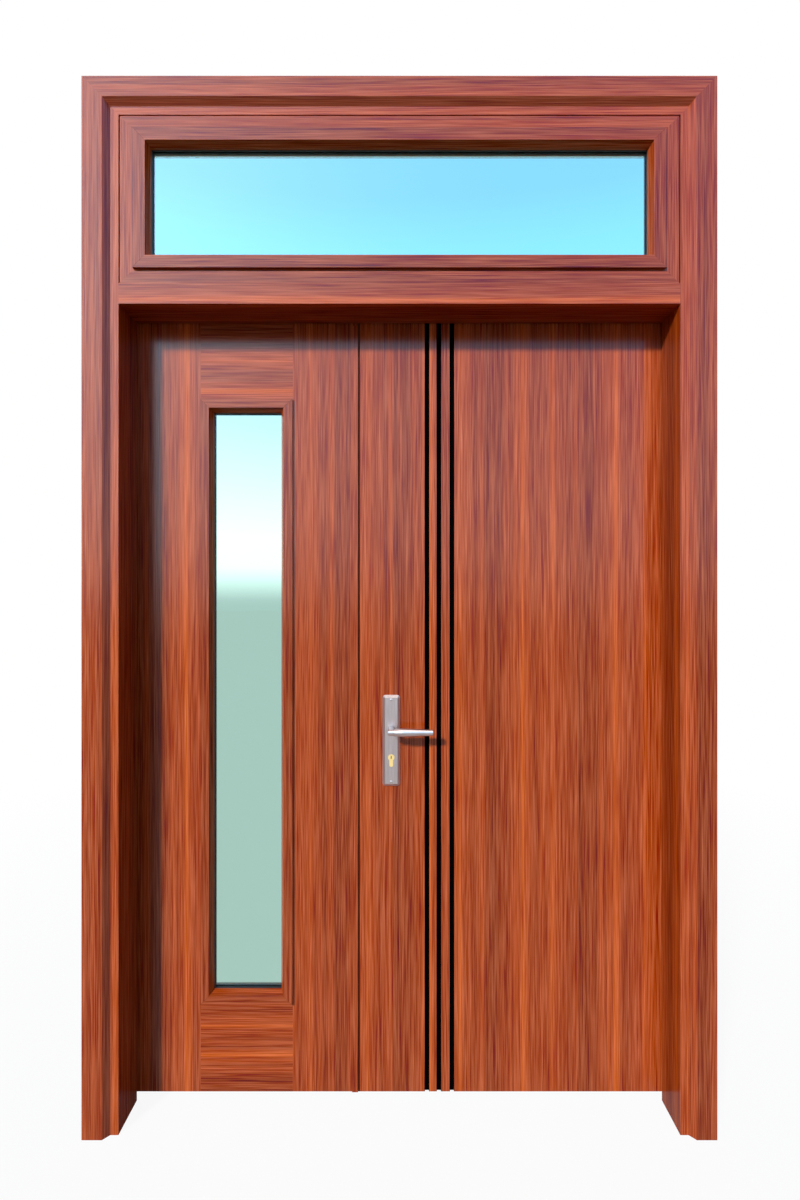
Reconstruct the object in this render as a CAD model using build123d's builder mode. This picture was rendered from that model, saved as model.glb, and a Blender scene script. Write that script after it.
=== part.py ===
from build123d import *
from math import atan, degrees
import os

os.makedirs("parts", exist_ok=True)

# Unequal double steel door with a fixed light over it, in millimetres.
# The origin is on the left jamb's wall face, at floor level, on the wall's front surface.
# X runs across the doorway, Y runs from the viewer into the wall, Z is up.

# Structural opening that the frame fills
opening_width = 1488
opening_height = 2568

# Moulded casing that laps the wall and the frame's front face
casing_lap = 33.5
casing_width = 64.5
casing_flat = 50.5
casing_thickness = 15
casing_round = 2
casing_sheet = 1.2
casing_lip = 10

# Pressed frame section
frame_face = 51
stop_depth = 110
rebate = 15
frame_sheet = 1.5
frame_lip = 18

# Transom bar and the fixed light above it
soffit_height = 2051
bar_height = 51
sash_gap = 3.5
sash_face = 34
sash_depth = 52
light_glass_thickness = 8
light_bead_proud = 9
light_bead_flat = 30.5
light_bead_bevel = 7.5

# Glazing details shared by both glass panes
bead_bevel_depth = 19
gasket_thickness = 5
gasket_lip = 1
gasket_seat = 18
mitre_gap = 0.3
glass_edge_gap = 2

# Leaves
leaf_thickness = 50
leaf_gap = 5
floor_gap = 20
passive_leaf_width = 593.5
meeting_bevel = 3

# Vision panel in the passive leaf
hinge_stile_width = 177
vision_width = 244
bottom_rail_height = 233
top_rail_height = 209
vision_glass_thickness = 10
vision_bead_proud = 8.5
vision_bead_flat = 24
vision_bead_bevel = 8

# Cover strip and seal on the passive leaf's meeting edge
strip_width = 16
strip_proud = 3
meeting_seal_depth = 12
meeting_seal_clearance = 1.2

# Recessed black channels in the active leaf, measured from its meeting edge
channel_offsets = (177.5, 209, 243.5)
channel_width = 12.6
channel_depth = 6
channel_wall = 1

# Rubber seal on the door stops
seal_width = 6
seal_thickness = 4
seal_edge = 2

# Butt hinges
hinge_height = 120
hinge_end_distance = 180
hinge_plate = 2
hinge_plate_depth = 38
hinge_plate_setback = 2
knuckle_radius = 7
knuckle_offset = 8
knuckle_gap = 0.3
pin_radius = 3
pin_clearance = 0.1

# Lever lock on the active leaf
lock_backset = 83
lock_height = 950
plate_width = 46
plate_height = 240
plate_thickness = 9
plate_corner = 8
plate_chamfer = 6.5
spindle_rise = 31.5
spindle_size = 8
spindle_bore_radius = 8
cylinder_drop = 44
cylinder_round = 8.5
cylinder_web = 5
cylinder_height = 33
cylinder_proud = 1
cylinder_clearance = 0.3
keyway_width = 2.2
keyway_height = 9
keyway_depth = 4
faceplate_width = 22
faceplate_height = 235
faceplate_thickness = 3
latch_height = 20
deadbolt_height = 32
bolt_width = 12
bolt_pocket_depth = 14
bolt_proud = 2
bolt_clearance = 0.3
latch_bevel = 7
strike_height = 160
strike_clearance = 2

# Flush bolts let into the passive leaf's meeting edge, near its top and bottom
flush_bolt_height = 170
flush_bolt_width = 20
flush_bolt_end_distance = 60
flush_bolt_slot_height = 60
flush_bolt_slot_width = 10
flush_bolt_slot_depth = 9
flush_bolt_thumb_height = 24
flush_bolt_thumb_width = 6

# Lever handle
lever_standoff = 60
lever_length = 109
neck_radius = 8
neck_clearance = 0.3
neck_leaf_gap = 1
grip_swell_distance = 29
grip_swell_radius = 11
grip_tip_radius = 7.7
grip_tip_chamfer = 2

# Planes and lines that the pieces share
centre_x = opening_width / 2
middle_plane = Plane.YZ.offset(centre_x)
left_stop = frame_face
right_stop = opening_width - frame_face
left_rebate = left_stop - rebate
right_rebate = right_stop + rebate
head_soffit = opening_height - frame_face
leaf_front = stop_depth + leaf_gap
leaf_back = leaf_front + leaf_thickness
leaf_middle = leaf_front + leaf_thickness / 2
frame_depth = leaf_back
bar_top = soffit_height + bar_height
bar_rebate_top = soffit_height + rebate
leaf_top = bar_rebate_top - leaf_gap
passive_hinge_edge = left_rebate + leaf_gap
passive_meeting_edge = passive_hinge_edge + passive_leaf_width
active_meeting_edge = passive_meeting_edge + leaf_gap
active_hinge_edge = right_rebate - leaf_gap
vision_left = passive_hinge_edge + hinge_stile_width
vision_right = vision_left + vision_width
vision_bottom = floor_gap + bottom_rail_height
vision_top = leaf_top - top_rail_height
lock_x = active_meeting_edge + lock_backset
spindle_z = lock_height + spindle_rise
cylinder_z = lock_height - cylinder_drop
flush_bolt_middle = flush_bolt_end_distance + flush_bolt_height / 2


def upright_plane(y):
    """Sketch plane facing the viewer at depth y, with world X and Z as its own axes."""
    return Plane.XZ.offset(-y)


def mitred_bars(x0, x1, z0, z1, face):
    """Outlines of the four bars of a mitred frame, keyed by the side that each bar fills."""
    outer = {"bl": (x0, z0), "br": (x1, z0), "tr": (x1, z1), "tl": (x0, z1)}
    inner = {
        "bl": (x0 + face, z0 + face),
        "br": (x1 - face, z0 + face),
        "tr": (x1 - face, z1 - face),
        "tl": (x0 + face, z1 - face),
    }
    sides = {"bottom_rail": "bl br", "right_stile": "br tr", "top_rail": "tr tl", "left_stile": "tl bl"}
    outlines = {}
    for side, ends in sides.items():
        start, end = ends.split()
        outlines[side] = (outer[start], outer[end], inner[end], inner[start])
    return outlines


def glazing_beads(x0, x1, z0, z1, face_y, into, flat, bevel, depth):
    """Four mitred beads lining an opening, bevelled on the edge that frames the glass."""
    width = x1 - x0
    height = z1 - z0
    inset = flat + bevel
    bevel_angle = degrees(atan(bevel / bead_bevel_depth))
    bead_face = Plane(
        origin=((x0 + x1) / 2, face_y, (z0 + z1) / 2), x_dir=(1, 0, 0), z_dir=(0, into, 0)
    )
    with BuildPart() as beads:
        with BuildSketch(bead_face):
            Rectangle(width, height)
            Rectangle(width - 2 * inset, height - 2 * inset, mode=Mode.SUBTRACT)
        extrude(amount=depth)
        with BuildSketch(bead_face):
            Rectangle(width - 2 * flat, height - 2 * flat)
        extrude(amount=bead_bevel_depth, taper=bevel_angle, mode=Mode.SUBTRACT)
        with BuildSketch(bead_face):
            for side_x in (-1, 1):
                for side_y in (-1, 1):
                    corner = (side_x * (width - inset) / 2, side_y * (height - inset) / 2)
                    with Locations(corner):
                        Rectangle(2 * inset, mitre_gap, rotation=45 * side_x * side_y)
        extrude(amount=depth, mode=Mode.SUBTRACT)
    return beads


def glazing_gaskets(x0, x1, z0, z1, glass_front, glass_back, inset):
    """Rubber ring on each face of a pane, showing as a lip inside the beads."""
    width = x1 - x0
    height = z1 - z0
    seat = inset - gasket_seat
    lip = inset + gasket_lip
    with BuildPart() as gaskets:
        for y in (glass_front, glass_back + gasket_thickness):
            with BuildSketch(upright_plane(y)):
                with Locations(((x0 + x1) / 2, (z0 + z1) / 2)):
                    Rectangle(width - 2 * seat, height - 2 * seat)
                    Rectangle(width - 2 * lip, height - 2 * lip, mode=Mode.SUBTRACT)
            extrude(amount=gasket_thickness)
    return gaskets


def cylinder_profile(clearance=0):
    """Keyhole-shaped outline of the lock cylinder: a round barrel over a rounded web."""
    web_drop = cylinder_height - cylinder_round - cylinder_web
    with Locations((lock_x, cylinder_z)):
        Circle(cylinder_round + clearance)
    with Locations((lock_x, cylinder_z - web_drop / 2)):
        Rectangle(2 * (cylinder_web + clearance), web_drop)
    with Locations((lock_x, cylinder_z - web_drop)):
        Circle(cylinder_web + clearance)


def bolt_outlines(clearance):
    """Outlines of latch and deadbolt, on a plane whose X runs up from the lock's middle."""
    for rise, height in ((spindle_rise, latch_height), (-cylinder_drop, deadbolt_height)):
        with Locations((rise, 0)):
            Rectangle(height + 2 * clearance, bolt_width + 2 * clearance)


# Left jamb: a pressed sheet section with stop and rebate, open to the wall between two lips
with BuildPart() as left_jamb:
    with BuildSketch():
        with BuildLine():
            Polyline(
                (0, 0),
                (left_stop, 0),
                (left_stop, stop_depth),
                (left_rebate, stop_depth),
                (left_rebate, frame_depth),
                (0, frame_depth),
                close=True,
            )
        make_face()
        offset(amount=-frame_sheet, kind=Kind.INTERSECTION, mode=Mode.SUBTRACT)
        with Locations((0, frame_depth / 2)):
            Rectangle(
                frame_sheet,
                frame_depth - 2 * frame_lip,
                align=(Align.MIN, Align.CENTER),
                mode=Mode.SUBTRACT,
            )
    extrude(amount=opening_height)
    split(bisect_by=Plane(origin=(0, 0, opening_height), z_dir=(1, 0, 1)), keep=Keep.BOTTOM)
left_jamb.part.label = "left_jamb"
export_step(left_jamb.part, "parts/left_jamb.step")

# Right jamb: the left one in the mirror
with BuildPart() as right_jamb:
    mirror(left_jamb.part, about=middle_plane)
right_jamb.part.label = "right_jamb"
export_step(right_jamb.part, "parts/right_jamb.step")

# Head: the same section lying over both jambs, mitred at each end
with BuildPart() as head:
    with BuildSketch(Plane.YZ):
        with BuildLine():
            Polyline(
                (0, head_soffit),
                (stop_depth, head_soffit),
                (stop_depth, head_soffit + rebate),
                (frame_depth, head_soffit + rebate),
                (frame_depth, opening_height),
                (0, opening_height),
                close=True,
            )
        make_face()
        offset(amount=-frame_sheet, kind=Kind.INTERSECTION, mode=Mode.SUBTRACT)
        with Locations((frame_depth / 2, opening_height)):
            Rectangle(
                frame_depth - 2 * frame_lip,
                frame_sheet,
                align=(Align.CENTER, Align.MAX),
                mode=Mode.SUBTRACT,
            )
    extrude(amount=opening_width)
    split(bisect_by=Plane(origin=(0, 0, opening_height), z_dir=(1, 0, 1)), keep=Keep.TOP)
    split(
        bisect_by=Plane(origin=(opening_width, 0, opening_height), z_dir=(-1, 0, 1)), keep=Keep.TOP
    )
head.part.label = "head"
export_step(head.part, "parts/head.step")

# Left casing: a folded sheet moulding, flat with a bevel towards the doorway, open at its back
with BuildPart() as left_casing:
    with BuildSketch() as casing_section:
        with BuildLine():
            Polyline(
                (-casing_lap, 0),
                (casing_width - casing_lap, 0),
                (casing_flat - casing_lap, -casing_thickness),
                (-casing_lap, -casing_thickness),
                close=True,
            )
        make_face()
        fillet(casing_section.vertices().group_by(Axis.Y)[0], radius=casing_round)
        offset(amount=-casing_sheet, kind=Kind.INTERSECTION, mode=Mode.SUBTRACT)
        with Locations((casing_width / 2 - casing_lap, 0)):
            Rectangle(
                casing_width - 2 * casing_lip,
                casing_sheet,
                align=(Align.CENTER, Align.MAX),
                mode=Mode.SUBTRACT,
            )
    extrude(amount=opening_height + casing_lap)
    split(
        bisect_by=Plane(origin=(-casing_lap, 0, opening_height + casing_lap), z_dir=(1, 0, 1)),
        keep=Keep.BOTTOM,
    )
left_casing.part.label = "left_casing"
export_step(left_casing.part, "parts/left_casing.step")

# Right casing: the left one in the mirror
with BuildPart() as right_casing:
    mirror(left_casing.part, about=middle_plane)
right_casing.part.label = "right_casing"
export_step(right_casing.part, "parts/right_casing.step")

# Head casing: the same moulding across the top
with BuildPart() as head_casing:
    casing_top = opening_height + casing_lap
    with BuildSketch(Plane.YZ.offset(-casing_lap)) as head_casing_section:
        with BuildLine():
            Polyline(
                (0, casing_top),
                (0, casing_top - casing_width),
                (-casing_thickness, casing_top - casing_flat),
                (-casing_thickness, casing_top),
                close=True,
            )
        make_face()
        fillet(head_casing_section.vertices().group_by(Axis.X)[0], radius=casing_round)
        offset(amount=-casing_sheet, kind=Kind.INTERSECTION, mode=Mode.SUBTRACT)
        with Locations((0, casing_top - casing_width / 2)):
            Rectangle(
                casing_sheet,
                casing_width - 2 * casing_lip,
                align=(Align.MAX, Align.CENTER),
                mode=Mode.SUBTRACT,
            )
    extrude(amount=opening_width + 2 * casing_lap)
    split(bisect_by=Plane(origin=(-casing_lap, 0, casing_top), z_dir=(1, 0, 1)), keep=Keep.TOP)
    split(
        bisect_by=Plane(origin=(opening_width + casing_lap, 0, casing_top), z_dir=(-1, 0, 1)),
        keep=Keep.TOP,
    )
head_casing.part.label = "head_casing"
export_step(head_casing.part, "parts/head_casing.step")

# Transom bar: stops and rebates like the frame, housed between the jambs
with BuildPart() as transom_bar:
    with BuildSketch(Plane.YZ.offset(left_stop)):
        with Locations((0, soffit_height)):
            Rectangle(stop_depth, bar_height, align=(Align.MIN, Align.MIN))
    extrude(amount=right_stop - left_stop)
    with BuildSketch(Plane.YZ.offset(left_rebate)):
        with Locations((stop_depth, bar_rebate_top)):
            Rectangle(leaf_gap + leaf_thickness, bar_height - rebate, align=(Align.MIN, Align.MIN))
    extrude(amount=right_rebate - left_rebate)
transom_bar.part.label = "transom_bar"
export_step(transom_bar.part, "parts/transom_bar.step")

# Sash of the fixed light: four mitred bars, set in by a shadow gap and seated on the transom bar
sash_left = left_stop + sash_gap
sash_right = right_stop - sash_gap
sash_top = head_soffit - sash_gap
for side, outline in mitred_bars(sash_left, sash_right, bar_top, sash_top, sash_face).items():
    with BuildPart() as sash_bar:
        with BuildSketch(upright_plane(sash_depth)):
            with BuildLine():
                Polyline(*outline, close=True)
            make_face()
        extrude(amount=sash_depth)
    sash_bar.part.label = f"transom_{side}"
    export_step(sash_bar.part, f"parts/transom_{side}.step")

# Glass of the fixed light, centred in the sash
light_left = sash_left + sash_face
light_right = sash_right - sash_face
light_bottom = bar_top + sash_face
light_top = sash_top - sash_face
light_glass_front = (sash_depth - light_glass_thickness) / 2
light_glass_back = light_glass_front + light_glass_thickness
with BuildPart() as transom_glass:
    with BuildSketch(upright_plane(light_glass_back)):
        with Locations(((light_left + light_right) / 2, (light_bottom + light_top) / 2)):
            Rectangle(
                light_right - light_left - 2 * glass_edge_gap,
                light_top - light_bottom - 2 * glass_edge_gap,
            )
    extrude(amount=light_glass_thickness)
transom_glass.part.label = "transom_glass"
export_step(transom_glass.part, "parts/transom_glass.step")

# Beads and gaskets that hold the light's glass on both faces
light_opening = (light_left, light_right, light_bottom, light_top)
light_bead_depth = light_bead_proud + light_glass_front - gasket_thickness
transom_front_beads = glazing_beads(
    *light_opening, -light_bead_proud, 1, light_bead_flat, light_bead_bevel, light_bead_depth
)
transom_front_beads.part.label = "transom_front_beads"
export_step(transom_front_beads.part, "parts/transom_front_beads.step")

transom_back_beads = glazing_beads(
    *light_opening,
    sash_depth + light_bead_proud,
    -1,
    light_bead_flat,
    light_bead_bevel,
    light_bead_depth,
)
transom_back_beads.part.label = "transom_back_beads"
export_step(transom_back_beads.part, "parts/transom_back_beads.step")

transom_gaskets = glazing_gaskets(
    *light_opening, light_glass_front, light_glass_back, light_bead_flat + light_bead_bevel
)
transom_gaskets.part.label = "transom_gaskets"
export_step(transom_gaskets.part, "parts/transom_gaskets.step")

# Rubber seal on the stops: a strip up each jamb and one under the transom bar's stop
with BuildPart() as door_seal:
    strip_height = soffit_height - floor_gap
    for strip_x in (left_stop - seal_edge - seal_width, right_stop + seal_edge):
        with Locations((strip_x, stop_depth, floor_gap)):
            Box(seal_width, seal_thickness, strip_height, align=(Align.MIN, Align.MIN, Align.MIN))
    with Locations((centre_x, stop_depth, soffit_height + seal_edge)):
        Box(
            right_stop - left_stop,
            seal_thickness,
            seal_width,
            align=(Align.CENTER, Align.MIN, Align.MIN),
        )
door_seal.part.label = "door_seal"
export_step(door_seal.part, "parts/door_seal.step")

# Butt hinges: frame halves carry the outer knuckles and the pin, leaf halves the middle knuckle
pivot_x = left_rebate + leaf_gap / 2
pivot_y = leaf_back + knuckle_offset
plate_back = leaf_back - hinge_plate_setback
plate_front = leaf_back - hinge_plate_depth
finger_reach = pivot_y - plate_back
knuckle_length = (hinge_height - 2 * knuckle_gap) / 3
middle_knuckle = knuckle_length + knuckle_gap
top_knuckle = 2 * middle_knuckle
hinge_bases = (
    floor_gap + hinge_end_distance,
    (floor_gap + leaf_top - hinge_height) / 2,
    leaf_top - hinge_end_distance - hinge_height,
)
corner_align = (Align.MIN, Align.MIN, Align.MIN)
axis_align = (Align.CENTER, Align.CENTER, Align.MIN)

with BuildPart() as left_hinge_frame_halves:
    for base in hinge_bases:
        with Locations((left_rebate, plate_front, base)):
            Box(hinge_plate, plate_back - plate_front, hinge_height, align=corner_align)
        for knuckle_base in (base, base + top_knuckle):
            with Locations((left_rebate, plate_back, knuckle_base)):
                Box(hinge_plate, finger_reach, knuckle_length, align=corner_align)
            with Locations((pivot_x, pivot_y, knuckle_base)):
                Cylinder(knuckle_radius, knuckle_length, align=axis_align)
        with Locations((pivot_x, pivot_y, base)):
            Cylinder(pin_radius, hinge_height, align=axis_align)
left_hinge_frame_halves.part.label = "left_hinge_frame_halves"
export_step(left_hinge_frame_halves.part, "parts/left_hinge_frame_halves.step")

with BuildPart() as left_hinge_leaf_halves:
    leaf_plate_x = passive_hinge_edge - hinge_plate
    for base in hinge_bases:
        with Locations((leaf_plate_x, plate_front, base)):
            Box(hinge_plate, plate_back - plate_front, hinge_height, align=corner_align)
        with Locations((leaf_plate_x, plate_back, base + middle_knuckle)):
            Box(hinge_plate, finger_reach, knuckle_length, align=corner_align)
        with Locations((pivot_x, pivot_y, base + middle_knuckle)):
            Cylinder(knuckle_radius, knuckle_length, align=axis_align)
            Cylinder(
                pin_radius + pin_clearance, knuckle_length, align=axis_align, mode=Mode.SUBTRACT
            )
left_hinge_leaf_halves.part.label = "left_hinge_leaf_halves"
export_step(left_hinge_leaf_halves.part, "parts/left_hinge_leaf_halves.step")

with BuildPart() as right_hinge_frame_halves:
    mirror(left_hinge_frame_halves.part, about=middle_plane)
right_hinge_frame_halves.part.label = "right_hinge_frame_halves"
export_step(right_hinge_frame_halves.part, "parts/right_hinge_frame_halves.step")

with BuildPart() as right_hinge_leaf_halves:
    mirror(left_hinge_leaf_halves.part, about=middle_plane)
right_hinge_leaf_halves.part.label = "right_hinge_leaf_halves"
export_step(right_hinge_leaf_halves.part, "parts/right_hinge_leaf_halves.step")

# Passive leaf: a stile at each edge, with a rail over and under the vision panel
with BuildPart() as left_leaf_hinge_stile:
    with BuildSketch(Plane.XY.offset(floor_gap)):
        with Locations((passive_hinge_edge, leaf_front)):
            Rectangle(hinge_stile_width, leaf_thickness, align=(Align.MIN, Align.MIN))
    extrude(amount=leaf_top - floor_gap)
left_leaf_hinge_stile.part.label = "left_leaf_hinge_stile"
export_step(left_leaf_hinge_stile.part, "parts/left_leaf_hinge_stile.step")

# Meeting stile: its edge is bevelled so that either leaf can open first
with BuildPart() as left_leaf_meeting_stile:
    with BuildSketch(Plane.XY.offset(floor_gap)):
        with BuildLine():
            Polyline(
                (vision_right, leaf_front),
                (passive_meeting_edge, leaf_front),
                (passive_meeting_edge - meeting_bevel, leaf_back),
                (vision_right, leaf_back),
                close=True,
            )
        make_face()
    extrude(amount=leaf_top - floor_gap)
    meeting_normal = left_leaf_meeting_stile.faces().sort_by(Axis.X)[-1].normal_at()
    strike_plane, low_bolt_plane, high_bolt_plane = [
        Plane(
            origin=(passive_meeting_edge - meeting_bevel / 2, leaf_middle, height),
            x_dir=(0, 0, 1),
            z_dir=meeting_normal,
        )
        for height in (lock_height, floor_gap + flush_bolt_middle, leaf_top - flush_bolt_middle)
    ]
    with BuildSketch(strike_plane):
        Rectangle(strike_height, faceplate_width)
    extrude(amount=-faceplate_thickness, mode=Mode.SUBTRACT)
    with BuildSketch(strike_plane):
        bolt_outlines(strike_clearance)
    extrude(amount=-bolt_pocket_depth, mode=Mode.SUBTRACT)
    with BuildSketch(low_bolt_plane, high_bolt_plane):
        Rectangle(flush_bolt_height, flush_bolt_width)
    extrude(amount=-faceplate_thickness, mode=Mode.SUBTRACT)
    with BuildSketch(low_bolt_plane, high_bolt_plane):
        Rectangle(flush_bolt_slot_height, flush_bolt_slot_width)
    extrude(amount=-flush_bolt_slot_depth, mode=Mode.SUBTRACT)
left_leaf_meeting_stile.part.label = "left_leaf_meeting_stile"
export_step(left_leaf_meeting_stile.part, "parts/left_leaf_meeting_stile.step")

# Strike plate with an opening for each bolt
with BuildPart() as strike_plate:
    with BuildSketch(strike_plane):
        Rectangle(strike_height, faceplate_width)
    extrude(amount=-faceplate_thickness)
    with BuildSketch(strike_plane):
        bolt_outlines(strike_clearance)
    extrude(amount=-faceplate_thickness, mode=Mode.SUBTRACT)
strike_plate.part.label = "strike_plate"
export_step(strike_plate.part, "parts/strike_plate.step")

# Flush bolts: a slotted plate with a thumb piece standing in its slot
with BuildPart() as flush_bolts:
    with BuildSketch(low_bolt_plane, high_bolt_plane):
        Rectangle(flush_bolt_height, flush_bolt_width)
        Rectangle(flush_bolt_slot_height, flush_bolt_slot_width, mode=Mode.SUBTRACT)
    extrude(amount=-faceplate_thickness)
    with BuildSketch(low_bolt_plane, high_bolt_plane):
        Rectangle(flush_bolt_thumb_height, flush_bolt_thumb_width)
    extrude(amount=-flush_bolt_slot_depth)
flush_bolts.part.label = "flush_bolts"
export_step(flush_bolts.part, "parts/flush_bolts.step")

for rail_name, rail_bottom, rail_height in (
    ("left_leaf_bottom_rail", floor_gap, bottom_rail_height),
    ("left_leaf_top_rail", vision_top, top_rail_height),
):
    with BuildPart() as leaf_rail:
        with BuildSketch(Plane.XY.offset(rail_bottom)):
            with Locations((vision_left, leaf_front)):
                Rectangle(vision_width, leaf_thickness, align=(Align.MIN, Align.MIN))
        extrude(amount=rail_height)
    leaf_rail.part.label = rail_name
    export_step(leaf_rail.part, f"parts/{rail_name}.step")

# Glass, beads and gaskets of the vision panel
vision_opening = (vision_left, vision_right, vision_bottom, vision_top)
vision_glass_front = leaf_middle - vision_glass_thickness / 2
vision_glass_back = leaf_middle + vision_glass_thickness / 2
vision_bead_depth = vision_bead_proud + vision_glass_front - leaf_front - gasket_thickness
with BuildPart() as left_leaf_glass:
    with BuildSketch(upright_plane(vision_glass_back)):
        with Locations(((vision_left + vision_right) / 2, (vision_bottom + vision_top) / 2)):
            Rectangle(
                vision_width - 2 * glass_edge_gap,
                vision_top - vision_bottom - 2 * glass_edge_gap,
            )
    extrude(amount=vision_glass_thickness)
left_leaf_glass.part.label = "left_leaf_glass"
export_step(left_leaf_glass.part, "parts/left_leaf_glass.step")

left_leaf_front_beads = glazing_beads(
    *vision_opening,
    leaf_front - vision_bead_proud,
    1,
    vision_bead_flat,
    vision_bead_bevel,
    vision_bead_depth,
)
left_leaf_front_beads.part.label = "left_leaf_front_beads"
export_step(left_leaf_front_beads.part, "parts/left_leaf_front_beads.step")

left_leaf_back_beads = glazing_beads(
    *vision_opening,
    leaf_back + vision_bead_proud,
    -1,
    vision_bead_flat,
    vision_bead_bevel,
    vision_bead_depth,
)
left_leaf_back_beads.part.label = "left_leaf_back_beads"
export_step(left_leaf_back_beads.part, "parts/left_leaf_back_beads.step")

left_leaf_gaskets = glazing_gaskets(
    *vision_opening, vision_glass_front, vision_glass_back, vision_bead_flat + vision_bead_bevel
)
left_leaf_gaskets.part.label = "left_leaf_gaskets"
export_step(left_leaf_gaskets.part, "parts/left_leaf_gaskets.step")

# Cover strip on the passive leaf's face, along its meeting edge
with BuildPart() as meeting_strip:
    with BuildSketch(Plane.XY.offset(floor_gap)):
        with Locations((passive_meeting_edge, leaf_front)):
            Rectangle(strip_width, strip_proud, align=(Align.MAX, Align.MAX))
    extrude(amount=soffit_height - leaf_gap - floor_gap)
meeting_strip.part.label = "meeting_strip"
export_step(meeting_strip.part, "parts/meeting_strip.step")

# Rubber seal in the meeting gap, stuck to the passive leaf's edge
with BuildPart() as meeting_seal:
    seal_face = active_meeting_edge - meeting_seal_clearance
    seal_slope = meeting_bevel * meeting_seal_depth / leaf_thickness
    with BuildSketch(Plane.XY.offset(floor_gap)):
        with BuildLine():
            Polyline(
                (passive_meeting_edge, leaf_front),
                (seal_face, leaf_front),
                (seal_face, leaf_front + meeting_seal_depth),
                (passive_meeting_edge - seal_slope, leaf_front + meeting_seal_depth),
                close=True,
            )
        make_face()
    extrude(amount=leaf_top - floor_gap)
meeting_seal.part.label = "meeting_seal"
export_step(meeting_seal.part, "parts/meeting_seal.step")

# Active leaf: bevelled meeting edge, three channels on each face, lock bores and faceplate pocket
with BuildPart() as right_leaf_panel:
    with BuildSketch(Plane.XY.offset(floor_gap)):
        with BuildLine():
            Polyline(
                (active_meeting_edge, leaf_front),
                (active_hinge_edge, leaf_front),
                (active_hinge_edge, leaf_back),
                (active_meeting_edge + meeting_bevel, leaf_back),
                close=True,
            )
        make_face()
        for offset_x in channel_offsets:
            with Locations((active_meeting_edge + offset_x, leaf_front)):
                Rectangle(
                    channel_width, channel_depth, align=(Align.CENTER, Align.MIN), mode=Mode.SUBTRACT
                )
            with Locations((active_meeting_edge + offset_x, leaf_back)):
                Rectangle(
                    channel_width, channel_depth, align=(Align.CENTER, Align.MAX), mode=Mode.SUBTRACT
                )
    extrude(amount=leaf_top - floor_gap)
    with BuildSketch(upright_plane(leaf_back)):
        with Locations((lock_x, spindle_z)):
            Circle(spindle_bore_radius)
        cylinder_profile(cylinder_clearance)
    extrude(amount=leaf_thickness, mode=Mode.SUBTRACT)
    lock_edge = right_leaf_panel.faces().sort_by(Axis.X)[0]
    lock_edge_plane = Plane(
        origin=(active_meeting_edge + meeting_bevel / 2, leaf_middle, lock_height),
        x_dir=(0, 0, 1),
        z_dir=lock_edge.normal_at(),
    )
    with BuildSketch(lock_edge_plane):
        Rectangle(faceplate_height, faceplate_width)
    extrude(amount=-faceplate_thickness, mode=Mode.SUBTRACT)
    with BuildSketch(lock_edge_plane):
        bolt_outlines(bolt_clearance)
    extrude(amount=-bolt_pocket_depth, mode=Mode.SUBTRACT)
right_leaf_panel.part.label = "right_leaf_panel"
export_step(right_leaf_panel.part, "parts/right_leaf_panel.step")

# Lock faceplate, and the latch and deadbolt drawn back into it, the latch bevelled on its closing side
with BuildPart() as lock_faceplate:
    with BuildSketch(lock_edge_plane):
        Rectangle(faceplate_height, faceplate_width)
    extrude(amount=-faceplate_thickness)
    with BuildSketch(lock_edge_plane):
        bolt_outlines(bolt_clearance)
    extrude(amount=-faceplate_thickness, mode=Mode.SUBTRACT)
lock_faceplate.part.label = "lock_faceplate"
export_step(lock_faceplate.part, "parts/lock_faceplate.step")

with BuildPart() as lock_bolts:
    with BuildSketch(lock_edge_plane.offset(-bolt_pocket_depth)):
        bolt_outlines(0)
    extrude(amount=bolt_pocket_depth + bolt_proud)
    latch_nose = lock_bolts.faces().filter_by(lock_edge_plane).sort_by(Axis.Z)[-1]
    closing_edge = latch_nose.edges().filter_by(Axis.Z).sort_by(Axis.Y)[0]
    chamfer(closing_edge, length=bolt_proud, length2=latch_bevel, reference=latch_nose)
lock_bolts.part.label = "lock_bolts"
export_step(lock_bolts.part, "parts/lock_bolts.step")

# Black lining of the channels: a thin trough pressed into each one
with BuildPart() as channel_liners:
    trough_width = channel_width - 2 * channel_wall
    trough_depth = channel_depth - channel_wall
    with BuildSketch(Plane.XY.offset(floor_gap)):
        for offset_x in channel_offsets:
            liner_x = active_meeting_edge + offset_x
            for face_y, depth_align in ((leaf_front, Align.MIN), (leaf_back, Align.MAX)):
                with Locations((liner_x, face_y)):
                    Rectangle(channel_width, channel_depth, align=(Align.CENTER, depth_align))
                    Rectangle(
                        trough_width,
                        trough_depth,
                        align=(Align.CENTER, depth_align),
                        mode=Mode.SUBTRACT,
                    )
    extrude(amount=leaf_top - floor_gap)
channel_liners.part.label = "channel_liners"
export_step(channel_liners.part, "parts/channel_liners.step")

# Lock plates: rounded escutcheons with a broad bevel, pierced for the lever's neck and the cylinder
with BuildPart() as front_lock_plate:
    with BuildSketch(upright_plane(leaf_front)):
        with Locations((lock_x, lock_height)):
            RectangleRounded(plate_width, plate_height, plate_corner)
    extrude(amount=plate_thickness)
    chamfer(front_lock_plate.faces().sort_by(Axis.Y)[0].edges(), length=plate_chamfer)
    with BuildSketch(upright_plane(leaf_front)):
        with Locations((lock_x, spindle_z)):
            Circle(neck_radius + neck_clearance)
        cylinder_profile(cylinder_clearance)
    extrude(amount=plate_thickness, mode=Mode.SUBTRACT)
front_lock_plate.part.label = "front_lock_plate"
export_step(front_lock_plate.part, "parts/front_lock_plate.step")

leaf_middle_plane = upright_plane(leaf_middle)
with BuildPart() as back_lock_plate:
    mirror(front_lock_plate.part, about=leaf_middle_plane)
back_lock_plate.part.label = "back_lock_plate"
export_step(back_lock_plate.part, "parts/back_lock_plate.step")

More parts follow.
